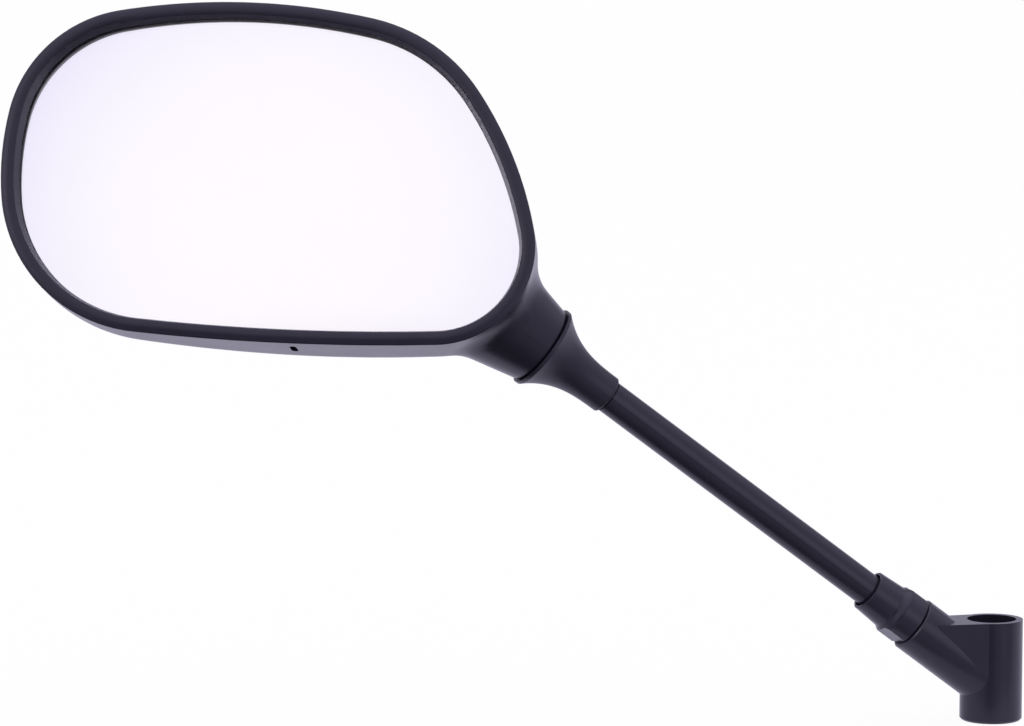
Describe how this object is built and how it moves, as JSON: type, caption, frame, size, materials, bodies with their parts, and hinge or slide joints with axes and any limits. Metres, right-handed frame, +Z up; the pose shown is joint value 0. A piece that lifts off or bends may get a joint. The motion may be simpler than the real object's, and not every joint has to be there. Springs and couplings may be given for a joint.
{
  "type": "motorcycle mirror",
  "caption": "Left-hand motorcycle rear-view mirror: bolt-on base with a slanted round stem, a ball swivel and a rounded head with convex glass.",
  "frame": {"origin": "on the bolt axis, at the bottom face of the base's boss", "axes": "+Z up along the bolt, +X to the rider's right, +Y forward; the stem climbs to -X and the glass faces -Y and a little up"},
  "size_m": [0.3068, 0.067, 0.2194],
  "materials": {
    "coated_metal": "satin black powder coat",
    "cup_plastic": "fine-grained matte black",
    "shell_plastic": "satin black",
    "bezel_plastic": "matte black",
    "nylon": "natural nylon",
    "zinc_steel": "zinc plated",
    "mirror": "silvered",
    "foam": "closed-cell foam"
  },
  "bodies": {
    "base": {"base_elbow": "coated_metal", "lock_nut": "coated_metal"},
    "stem": {"stem": "coated_metal", "swivel_cup": "cup_plastic", "swivel_spring": "zinc_steel", "thrust_washer": "zinc_steel", "stud_nut": "zinc_steel", "nut_insert": "nylon"},
    "swivel_turn": {"pressure_cup": "nylon"},
    "swivel_tip": {"friction_liner": "nylon"},
    "head": {"housing": "shell_plastic", "bezel": "bezel_plastic", "mirror_glass": "mirror", "glass_gasket": "foam"}
  },
  "joints": [
    {"name": "stem_turn", "type": "hinge", "parent": "base", "child": "stem", "pos_m": [0, 0, 0.0114], "axis": [-0.7767, -0.1815, 0.6032], "continuous": true},
    {"name": "head_turn", "type": "hinge", "parent": "stem", "child": "swivel_turn", "pos_m": [-0.14493, -0.03386, 0.12396], "axis": [-0.7767, -0.1815, 0.6032], "continuous": true},
    {"name": "head_tip", "type": "hinge", "parent": "swivel_turn", "child": "swivel_tip", "pos_m": [-0.14493, -0.03386, 0.12396], "axis": [0.2275, -0.9738, 0], "range_deg": [-10, 10]},
    {"name": "head_swing", "type": "hinge", "parent": "swivel_tip", "child": "head", "pos_m": [-0.14493, -0.03386, 0.12396], "axis": [0.5874, 0.1372, 0.7976], "range_deg": [-10, 10]}
  ]
}
